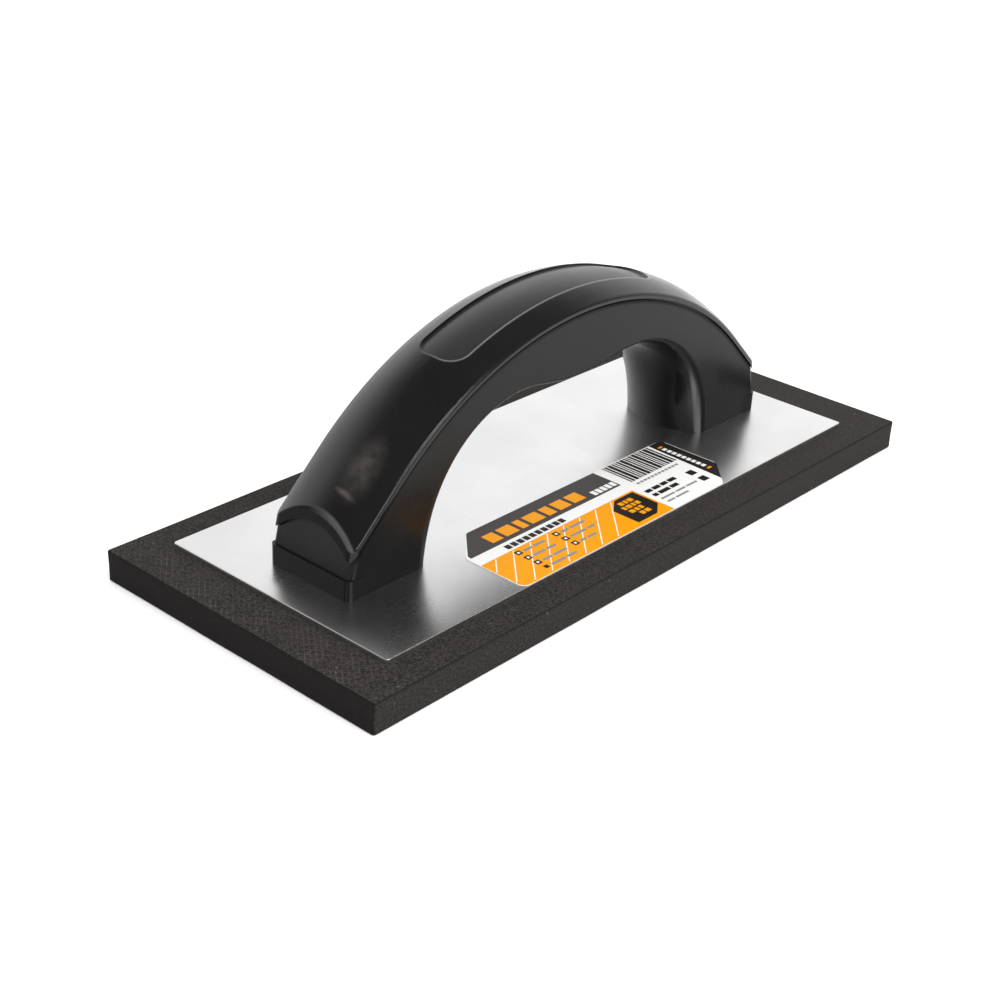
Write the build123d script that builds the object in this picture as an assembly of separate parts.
from build123d import *
import math
import os

# Grout float, millimetres. X runs along the float, Y across it, +Z up.
# The origin is the middle of the foam's working face, where the float rests.

# Everything above the foam sits this far off the foam's middle, along X
ASSEMBLY_SHIFT = -1.0

# Foam board and the plate that stiffens it
PAD_LENGTH = 230.0
PAD_WIDTH = 100.0
PAD_THICK = 8.85
PAD_CORNER = 0.8
FILM_THICK = 0.15
PLATE_LENGTH = 200.0
PLATE_WIDTH = 80.0
PLATE_THICK = 1.0
PLATE_CORNER = 1.0
PLATE_EDGE_ROUNDING = 0.2
PLATE_BOTTOM = PAD_THICK + FILM_THICK
PLATE_TOP = PLATE_BOTTOM + PLATE_THICK

# Sticker on the plate, with its trimmed corners
LABEL_LEFT = -50.6
LABEL_RIGHT = 46.5
LABEL_BACK = -9.5
LABEL_FRONT = -39.8
LABEL_THICK = 0.12
LABEL_TRIM_LEFT = 10.0
LABEL_TRIM_RIGHT = 9.5
LABEL_CORNER = 2.5

# Handle: one arc over the hand, running out into straight shoulders at the feet
HANDLE_HALF_LENGTH = 88.1
HANDLE_HALF_WIDTH = 14.6
SEAM_TOP = 65.5            # height of the seam between body and cover at its crest
SEAM_RADIUS = 104.0
SEAM_CENTRE_X = 1.25       # the crest sits a little behind the handle's middle
SHOULDER_REACH = 72.0      # from the crest to where the arc runs out into a straight line
FOOT_LEAN = 3.0            # degrees that the end faces lean inward up to the band's top
END_LEAN = 13.0            # and above it
FOOT_CORNER = 1.8
WALL = 2.5

# Arch under the grip: belly arc in the middle, a corner arc to each foot
ARCH_CENTRE_X = -0.5
ARCH_HALF_WIDTH = 62.9
ARCH_TOP = 47.8
ARCH_BELLY_RADIUS = 74.3
ARCH_CORNER_RADIUS = 39.8
FOOT_BELLY = (7.4, 4.0)    # rise of the rounded inner face past the side faces, and corner
GRIP_BELLY = (3.2, 1.8)    # the same under the grip

# Cover: a crowned shell with a sunk panel along its top
CROWN_RISE = 5.3
COVER_PROUD = 0.15
COVER_WALL = 2.2
COVER_END_WALL = 1.6
COVER_OVERHANG = 1.1
COVER_EDGE = 1.3           # upright edge all round, before its rim is rounded
COVER_RIM_ROUNDING = 1.2
COVER_CORNER = 2.4         # rounding of its upright corners
SEAM_REBATE_DEPTH = 0.7
SEAM_REBATE_HEIGHT = 0.5
PANEL_FRONT = -45.0
PANEL_REAR = 39.0
PANEL_HALF_WIDTH = 7.6
PANEL_DEPTH = 0.8
PANEL_CORNER = 5.5
PANEL_ROUNDING = 0.25
TONGUE_THICK = 1.2
TONGUE_DEPTH = 4.0
TONGUE_REACH = 66.0
FIT_GAP = 0.1

# Webs and posts inside the hollow body
RIB_THICK = 1.6
RIB_PLACES = (-52.0, -18.0, 16.0, 50.0)
RIB_BELOW_SEAM = 5.0
PIN_PLACES = (-25.0, 22.0)
PIN_DIAMETER = 4.0
PIN_LOW = 53.0
POST_DIAMETER = 8.0
POST_LOW = 46.0            # below the underside, where the posts are cut off flush
POST_BELOW_SEAM = 4.0

# Raised band round the foot of each end face
BAND_HEIGHT = 5.8
BAND_PROUD = 0.5
BAND_SIDE_PROUD = 0.25
BAND_WRAP = 6.0            # how far it runs back along the side faces, tapering out

# Screws up through the plate into a boss in each foot
SCREW_X = 76.0
SCREW_Y = 7.0
SCREW_THREAD = 3.5
SCREW_ROOT = 2.6
SCREW_PITCH = 1.3
SCREW_LENGTH = 13.0
SCREW_HEAD = 6.8
HEAD_RIM = 0.3
BOSS_DIAMETER = 8.4
BOSS_TOP = 25.0
NECK_LENGTH = 3.2
POINT_LENGTH = 2.0
RECESS_LENGTH = 4.0
RECESS_WIDTH = 0.9
RECESS_DEPTH = 1.4
DIMPLE_CLEARANCE = 0.2
SEAT_GAP = 0.05

INNER_HALF_LENGTH = HANDLE_HALF_LENGTH - WALL
INNER_HALF_WIDTH = HANDLE_HALF_WIDTH - WALL

SEAM_CENTRE_Z = SEAM_TOP - SEAM_RADIUS
SHOULDER_ANGLE = math.asin(SHOULDER_REACH / SEAM_RADIUS)
COVER_HALF_WIDTH = HANDLE_HALF_WIDTH + COVER_PROUD
ARC_RISE = CROWN_RISE - COVER_EDGE
CROWN_RADIUS = (COVER_HALF_WIDTH**2 + ARC_RISE**2) / (2 * ARC_RISE)
BELLY_ROOT = 4.0           # how deep the rounded underside is rooted in the side block
BELLY_LEAST_CORNER = 0.5
BELLY_STATIONS = (
    (0.0, FOOT_BELLY), (0.12, FOOT_BELLY), (0.4, GRIP_BELLY), (0.5, GRIP_BELLY),
    (0.6, GRIP_BELLY), (0.88, FOOT_BELLY), (1.0, FOOT_BELLY),
)
SCREW_PLACES = {
    "front_screw_left": (-SCREW_X, SCREW_Y),
    "front_screw_right": (-SCREW_X, -SCREW_Y),
    "rear_screw_left": (SCREW_X, SCREW_Y),
    "rear_screw_right": (SCREW_X, -SCREW_Y),
}


def seam_z(x):
    """Height of the seam line at x: the arc, then its tangent line at the shoulders."""
    distance = abs(x - SEAM_CENTRE_X)
    reach = min(distance, SHOULDER_REACH)
    on_arc = SEAM_CENTRE_Z + math.sqrt(SEAM_RADIUS**2 - reach**2)
    return on_arc - (distance - reach) * math.tan(SHOULDER_ANGLE)


def seam_path(half_length):
    """The seam line in the XZ plane, out to half_length each way."""
    places = (
        -half_length, SEAM_CENTRE_X - SHOULDER_REACH, SEAM_CENTRE_X,
        SEAM_CENTRE_X + SHOULDER_REACH, half_length,
    )
    front, front_shoulder, crest, rear_shoulder, rear = [(x, 0, seam_z(x)) for x in places]
    return Wire([
        Edge.make_line(front, front_shoulder),
        Edge.make_three_point_arc(front_shoulder, crest, rear_shoulder),
        Edge.make_line(rear_shoulder, rear),
    ])


def along_seam(section, half_length=HANDLE_HALF_LENGTH + 6):
    """Sweep a section, drawn as (across, outward from the seam), along the seam line."""
    path = seam_path(half_length)
    start = path.position_at(0)
    plane = Plane(start, x_dir=(0, 1, 0), z_dir=path.tangent_at(0))
    return sweep(plane * section, path=path)


def crown_section(inset=0.0, half_width=COVER_HALF_WIDTH):
    """The crowned cross-section above the seam, drawn in by inset all round the arc."""
    disc = Pos(0, CROWN_RISE - CROWN_RADIUS) * Circle(CROWN_RADIUS - inset)
    keep = Pos(0, CROWN_RADIUS / 2) * Rectangle(2 * half_width, CROWN_RADIUS)
    return disc & keep


def arch_corner_centre():
    """Centre of the corner arc, in the arch's own x, tangent to belly arc and foot."""
    x = ARCH_HALF_WIDTH - ARCH_CORNER_RADIUS
    reach = ARCH_BELLY_RADIUS + ARCH_CORNER_RADIUS
    z = ARCH_TOP + ARCH_BELLY_RADIUS - math.sqrt(reach**2 - x**2)
    return x, z


def arch_path(bottom):
    """The arch line in the XZ plane, from one foot over the hand space to the other."""
    corner_x, corner_z = arch_corner_centre()
    belly_z = ARCH_TOP + ARCH_BELLY_RADIUS
    share = ARCH_BELLY_RADIUS / (ARCH_BELLY_RADIUS + ARCH_CORNER_RADIUS)
    join = (corner_x * share, belly_z + (corner_z - belly_z) * share)
    join_angle = math.atan2(join[1] - corner_z, join[0] - corner_x)
    middle = (
        corner_x + ARCH_CORNER_RADIUS * math.cos(join_angle / 2),
        corner_z + ARCH_CORNER_RADIUS * math.sin(join_angle / 2),
    )
    foot = (ARCH_HALF_WIDTH, corner_z)
    low = (ARCH_HALF_WIDTH, bottom)

    def at(point, side):
        return (ARCH_CENTRE_X + side * point[0], 0, point[1])

    edges = [
        Edge.make_three_point_arc(at(foot, -1), at(middle, -1), at(join, -1)),
        Edge.make_three_point_arc(at(join, -1), at((0, ARCH_TOP), 1), at(join, 1)),
        Edge.make_three_point_arc(at(join, 1), at(middle, 1), at(foot, 1)),
    ]
    edges.insert(0, Edge.make_line(at(low, -1), at(foot, -1)))
    edges.append(Edge.make_line(at(foot, 1), at(low, 1)))
    return Wire(edges)


def belly_section(rise, corner, inset):
    """Rounded underside: corner arcs at the side faces and a flatter arc between them."""
    half = HANDLE_HALF_WIDTH - inset
    rise = rise - inset
    corner = max(corner - inset, BELLY_LEAST_CORNER)
    arc_rise = rise - corner / 2
    radius = (half**2 + arc_rise**2) / (2 * arc_rise)
    keep = Pos(0, (rise - BELLY_ROOT) / 2) * Rectangle(2 * half, rise + BELLY_ROOT)
    section = keep & (Pos(0, rise - radius) * Circle(radius))
    corners = section.vertices().sort_by(Axis.Y)[2:]
    return fillet(corners, corner)


def belly(inset=0.0):
    """The rounded underside from foot to foot, full at the feet and shallow at the grip."""
    path = arch_path(PLATE_TOP)
    sections = []
    for place, shape in BELLY_STATIONS:
        frame = Plane(path.position_at(place), x_dir=(0, -1, 0), z_dir=path.tangent_at(place))
        sections.append(frame * belly_section(*shape, inset))
    return sweep(sections, path=path, multisection=True)


def block(x0, x1, y0, y1, z0, z1):
    """A box between two corners."""
    size = Box(x1 - x0, y1 - y0, z1 - z0)
    return Pos((x0 + x1) / 2, (y0 + y1) / 2, (z0 + z1) / 2) * size


def slab(length, width, thick, corner, bottom):
    """A flat board lying on bottom, with rounded upright corners."""
    outline = RectangleRounded(length, width, corner)
    return Pos(0, 0, bottom) * extrude(outline, thick)


def foot_plan(half_length=HANDLE_HALF_LENGTH, half_width=HANDLE_HALF_WIDTH):
    """The handle seen from above as one block, its ends leaning inward as they rise."""
    knee = PLATE_TOP + BAND_HEIGHT
    top = SEAM_TOP + CROWN_RISE + 5
    low = half_length - math.tan(math.radians(FOOT_LEAN)) * BAND_HEIGHT
    high = low - math.tan(math.radians(END_LEAN)) * (top - knee)
    side = Polyline(
        (-half_length, 0, PLATE_TOP), (half_length, 0, PLATE_TOP), (low, 0, knee),
        (high, 0, top), (-high, 0, top), (-low, 0, knee), close=True,
    )
    return extrude(make_face(side), half_width, both=True, dir=(0, 1, 0))


def rounded_upright(solid, radius):
    """The same solid with its upright edges rounded."""
    upright = solid.edges().filter_by(lambda edge: abs(edge.tangent_at(0.5).Z) > 0.9)
    return fillet(upright, radius)


def under_seam(half_width):
    """Everything below the seam line, as deep as the plate top."""
    reach = HANDLE_HALF_LENGTH + 4
    path = seam_path(reach)
    low = PLATE_TOP - 1
    sides = [
        Edge.make_line((reach, 0, seam_z(reach)), (reach, 0, low)),
        Edge.make_line((reach, 0, low), (-reach, 0, low)),
        Edge.make_line((-reach, 0, low), (-reach, 0, seam_z(-reach))),
    ]
    face = make_face(Wire(list(path.edges()) + sides))
    return extrude(face, half_width, both=True, dir=(0, 1, 0))


def hand_space(half_width):
    """The arched opening between the side faces, under the arch line."""
    path = arch_path(PLATE_TOP - 5)
    floor = Edge.make_line(path.position_at(1), path.position_at(0))
    face = make_face(Wire(list(path.edges()) + [floor]))
    return extrude(face, half_width, both=True, dir=(0, 1, 0))


def body_outside():
    """Outer form of the handle body: flat sides, leaning ends and rounded underside."""
    form = rounded_upright(foot_plan(), FOOT_CORNER) & under_seam(HANDLE_HALF_WIDTH + 1)
    form -= hand_space(HANDLE_HALF_WIDTH + 1)
    return form + (belly() & foot_plan()) + foot_bands()


def body_inside():
    """The hollow of the handle body: a wall in from every outside face, open at the seam."""
    hollow = foot_plan(INNER_HALF_LENGTH, INNER_HALF_WIDTH)
    hollow &= under_seam(HANDLE_HALF_WIDTH)
    hollow -= hand_space(HANDLE_HALF_WIDTH)
    hollow += belly(WALL)
    return hollow - block(-100, 100, -20, 20, 0, PLATE_TOP + WALL)


def end_walls():
    """The arched tops of the end walls, which stand up inside the cover's ends."""
    arch = along_seam(crown_section(COVER_END_WALL + FIT_GAP, HANDLE_HALF_WIDTH))
    arch &= rounded_upright(foot_plan(), FOOT_CORNER)
    return arch - foot_plan(INNER_HALF_LENGTH, HANDLE_HALF_WIDTH + 1)


def seam_rebate():
    """The small step along the top edge of both side faces, which shows as a dark line."""
    middle = HANDLE_HALF_WIDTH - SEAM_REBATE_DEPTH / 2
    strip = Rectangle(SEAM_REBATE_DEPTH, SEAM_REBATE_HEIGHT, align=(Align.CENTER, Align.MAX))
    return along_seam(Pos(middle, 0) * strip) + along_seam(Pos(-middle, 0) * strip)


def foot_bands():
    """The raised band round the bottom of each end face, tapering out along the sides."""
    front = -HANDLE_HALF_LENGTH - BAND_PROUD
    back = BAND_WRAP - HANDLE_HALF_LENGTH
    half_width = HANDLE_HALF_WIDTH + BAND_SIDE_PROUD
    outline = make_face(Polyline(
        (back, -HANDLE_HALF_WIDTH), (front, -half_width),
        (front, half_width), (back, HANDLE_HALF_WIDTH), close=True,
    ))
    corners = outline.vertices().sort_by(Axis.X)[:2]
    band = Pos(0, 0, PLATE_TOP) * extrude(fillet(corners, FOOT_CORNER), BAND_HEIGHT)
    return band + Rot(0, 0, 180) * band


def cone(radius, z, height, end_radius):
    """An upright cone frustum from z upward."""
    return Pos(0, 0, z) * Cone(
        radius, end_radius, height, align=(Align.CENTER, Align.CENTER, Align.MIN)
    )


def rod(radius, z, height):
    """An upright cylinder from z upward."""
    return Pos(0, 0, z) * Cylinder(
        radius, height, align=(Align.CENTER, Align.CENTER, Align.MIN)
    )


def dimple(grow):
    """The plate's pressed-up seat for a screw head, as a solid cone frustum."""
    height = PLATE_THICK * 1.8
    base = SCREW_HEAD / 2 + PLATE_THICK * 0.75 + grow
    return cone(base, PLATE_TOP, height + grow, base - height)


def boss(x, y):
    """A screw boss standing in a foot, with a web to the side wall."""
    wall_y = math.copysign(HANDLE_HALF_WIDTH - WALL / 2, y)
    web = block(
        x - RIB_THICK / 2, x + RIB_THICK / 2, min(y, wall_y), max(y, wall_y),
        PLATE_TOP, BOSS_TOP,
    )
    return web + Pos(x, y, 0) * rod(BOSS_DIAMETER / 2, PLATE_TOP, BOSS_TOP - PLATE_TOP)


def cross_rib(x):
    """A thin web across the grip, from the rounded underside up past mid-depth."""
    top = seam_z(x) - RIB_BELOW_SEAM
    return block(
        x - RIB_THICK / 2, x + RIB_THICK / 2, -HANDLE_HALF_WIDTH, HANDLE_HALF_WIDTH,
        PLATE_TOP, top,
    )


def make_handle_body():
    """Hollow moulded body: arch, feet, end walls, ribs, pin posts and screw bosses."""
    outside = body_outside()
    body = outside - body_inside() + end_walls() - seam_rebate()
    for x in RIB_PLACES:
        body += cross_rib(x) & outside
    for x in PIN_PLACES:
        height = seam_z(x) - POST_BELOW_SEAM - POST_LOW
        body += (Pos(x, 0, 0) * rod(POST_DIAMETER / 2, POST_LOW, height)) & outside
        body -= Pos(x, 0, 0) * rod(PIN_DIAMETER / 2 + FIT_GAP, PIN_LOW - 1, 30)
    for x, y in SCREW_PLACES.values():
        bore = rod((SCREW_THREAD + FIT_GAP) / 2, PLATE_TOP, BOSS_TOP - WALL - PLATE_TOP)
        body += boss(x, y)
        body -= Pos(x, y, 0) * (bore + dimple(DIMPLE_CLEARANCE))
    return body


def panel_pocket():
    """The sunk panel along the top of the cover: a rounded outline cut to an even depth."""
    length = PANEL_REAR - PANEL_FRONT
    outline = RectangleRounded(length, 2 * PANEL_HALF_WIDTH, PANEL_CORNER)
    column = Pos((PANEL_FRONT + PANEL_REAR) / 2, 0, SEAM_TOP - 30) * extrude(outline, 60)
    return column - along_seam(crown_section(PANEL_DEPTH))


def panel_edges(shell):
    """The sunk panel's rim and floor edges, which are the long ones near the ridge."""
    inner = PANEL_HALF_WIDTH + 0.5
    return shell.edges().filter_by(
        lambda edge: abs(edge.center().Y) < inner and edge.center().Z > 55 and edge.length > 1
    )


def cover_tongues():
    """Long ribs under the cover that drop inside the body's side walls."""
    middle = INNER_HALF_WIDTH - FIT_GAP - TONGUE_THICK / 2
    strip = Pos(0, 1 - TONGUE_DEPTH / 2) * Rectangle(TONGUE_THICK, TONGUE_DEPTH)
    pair = along_seam(Pos(middle, 0) * strip) + along_seam(Pos(-middle, 0) * strip)
    return pair & block(-TONGUE_REACH, TONGUE_REACH, -20, 20, 0, 100)


def cover_rim(form):
    """The loop of edges where the crown meets the cover's upright sides and ends."""
    return form.edges().filter_by(
        lambda edge: edge.center().Z - seam_z(edge.center().X) > 0.8 * COVER_EDGE
    )


def make_grip_cover():
    """Crowned cover shell that closes the top of the handle body."""
    plan = foot_plan(HANDLE_HALF_LENGTH + COVER_OVERHANG, COVER_HALF_WIDTH)
    form = along_seam(crown_section()) & rounded_upright(plan, COVER_CORNER)
    shell = fillet(cover_rim(form), COVER_RIM_ROUNDING) - panel_pocket()
    shell = fillet(panel_edges(shell), PANEL_ROUNDING)
    shell -= along_seam(crown_section(COVER_WALL)) \
        & foot_plan(INNER_HALF_LENGTH, HANDLE_HALF_WIDTH)
    end_seat = along_seam(crown_section(COVER_END_WALL, HANDLE_HALF_WIDTH))
    shell -= end_seat - foot_plan(INNER_HALF_LENGTH - FIT_GAP, HANDLE_HALF_WIDTH + 1)
    shell += cover_tongues()
    for x in PIN_PLACES:
        pin = rod(PIN_DIAMETER / 2, PIN_LOW, seam_z(x) - PIN_LOW + CROWN_RISE - PANEL_DEPTH - 1)
        shell += Pos(x, 0, 0) * pin
    return shell


def make_backing_plate():
    """Aluminium plate with four pressed-up countersunk screw seats."""
    plate = slab(PLATE_LENGTH, PLATE_WIDTH, PLATE_THICK, PLATE_CORNER, PLATE_BOTTOM)
    plate = fillet(plate.edges().group_by(Axis.Z)[-1], PLATE_EDGE_ROUNDING)
    for x, y in SCREW_PLACES.values():
        plate += Pos(x, y, 0) * dimple(0)
        plate -= Pos(x, y, 0) * head_space(SEAT_GAP)
    return plate


def head_space(grow=0.0):
    """The screw head as a short rim and a cone down to the thread, run on as a hole."""
    radius = SCREW_HEAD / 2 + grow
    neck = SCREW_THREAD / 2 + grow
    rim = rod(radius, PLATE_BOTTOM, HEAD_RIM)
    taper = cone(radius, PLATE_BOTTOM + HEAD_RIM, radius - neck, neck)
    return rim + taper + rod(neck, PLATE_BOTTOM, NECK_LENGTH if not grow else 5 * PLATE_THICK)


def make_screw(x, y):
    """Countersunk self-tapping screw: head, cross recess, ridged thread and point."""
    turns = int((SCREW_LENGTH - NECK_LENGTH - POINT_LENGTH) / SCREW_PITCH)
    z = PLATE_BOTTOM + NECK_LENGTH
    outline = [(0, z), (SCREW_ROOT / 2, z)]
    for turn in range(turns):
        crest = z + (turn + 0.5) * SCREW_PITCH
        outline += [(SCREW_THREAD / 2, crest), (SCREW_ROOT / 2, crest + SCREW_PITCH / 2)]
    outline += [(0, PLATE_BOTTOM + SCREW_LENGTH)]
    profile = make_face(Polyline(*[(r, 0, height) for r, height in outline], close=True))
    screw = head_space() + revolve(profile, Axis.Z)
    slot = block(-RECESS_LENGTH / 2, RECESS_LENGTH / 2, -RECESS_WIDTH / 2, RECESS_WIDTH / 2,
                 PLATE_BOTTOM - 1, PLATE_BOTTOM + RECESS_DEPTH)
    screw -= slot + Rot(0, 0, 90) * slot
    return Pos(x, y, 0) * screw


def make_info_label():
    """Plain sticker with trimmed corners, flush with the plate's front edge."""
    outline = Polyline(
        (LABEL_LEFT, LABEL_FRONT),
        (LABEL_RIGHT - LABEL_TRIM_RIGHT, LABEL_FRONT),
        (LABEL_RIGHT, LABEL_FRONT + LABEL_TRIM_RIGHT),
        (LABEL_RIGHT, LABEL_BACK),
        (LABEL_LEFT + LABEL_TRIM_LEFT, LABEL_BACK),
        (LABEL_LEFT, LABEL_BACK - LABEL_TRIM_LEFT),
        close=True,
    )
    face = make_face(outline)
    face = fillet(face.vertices(), LABEL_CORNER)
    return Pos(0, 0, PLATE_TOP) * extrude(face, LABEL_THICK)


def make_parts():
    """Every piece of the float, by node name."""
    parts = {
        "eva_pad": slab(PAD_LENGTH, PAD_WIDTH, PAD_THICK, PAD_CORNER, 0),
        "bond_film": slab(PLATE_LENGTH, PLATE_WIDTH, FILM_THICK, PLATE_CORNER, PAD_THICK),
        "backing_plate": make_backing_plate(),
        "info_label": make_info_label(),
        "handle_body": make_handle_body(),
        "grip_cover": make_grip_cover(),
    }
    for name, (x, y) in SCREW_PLACES.items():
        parts[name] = make_screw(x, y)
    for name in parts:
        if name != "eva_pad":
            parts[name] = Pos(ASSEMBLY_SHIFT, 0, 0) * parts[name]
    return parts


if __name__ == "__main__":
    os.makedirs("parts", exist_ok=True)
    for name, shape in make_parts().items():
        export_step(shape, f"parts/{name}.step")
